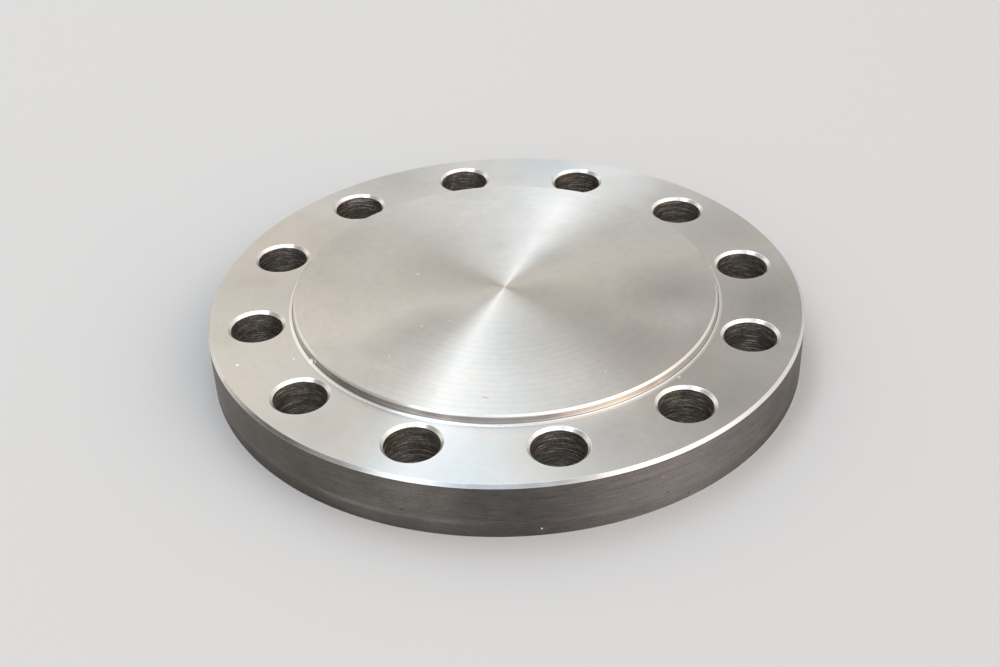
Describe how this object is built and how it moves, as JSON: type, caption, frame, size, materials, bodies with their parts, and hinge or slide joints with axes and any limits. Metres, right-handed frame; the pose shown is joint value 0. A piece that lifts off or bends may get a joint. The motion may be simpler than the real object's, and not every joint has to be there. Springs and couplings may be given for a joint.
{
  "type": "blind flange",
  "caption": "Round blind flange, a solid turned disc with a raised sealing face and a ring of chamfered bolt holes.",
  "frame": {"origin": "centre of the flat back face, where the part rests", "axes": "+Z along the pipe axis, out of the raised sealing face; the bolt holes straddle +X and +Y"},
  "size_m": [0.105, 0.105, 0.0118],
  "materials": {
    "turned_steel": "bare stainless steel with fine concentric turning marks, satin, chamfers bright"
  },
  "bodies": {
    "root": {"blind_flange": "turned_steel"}
  },
  "joints": []
}
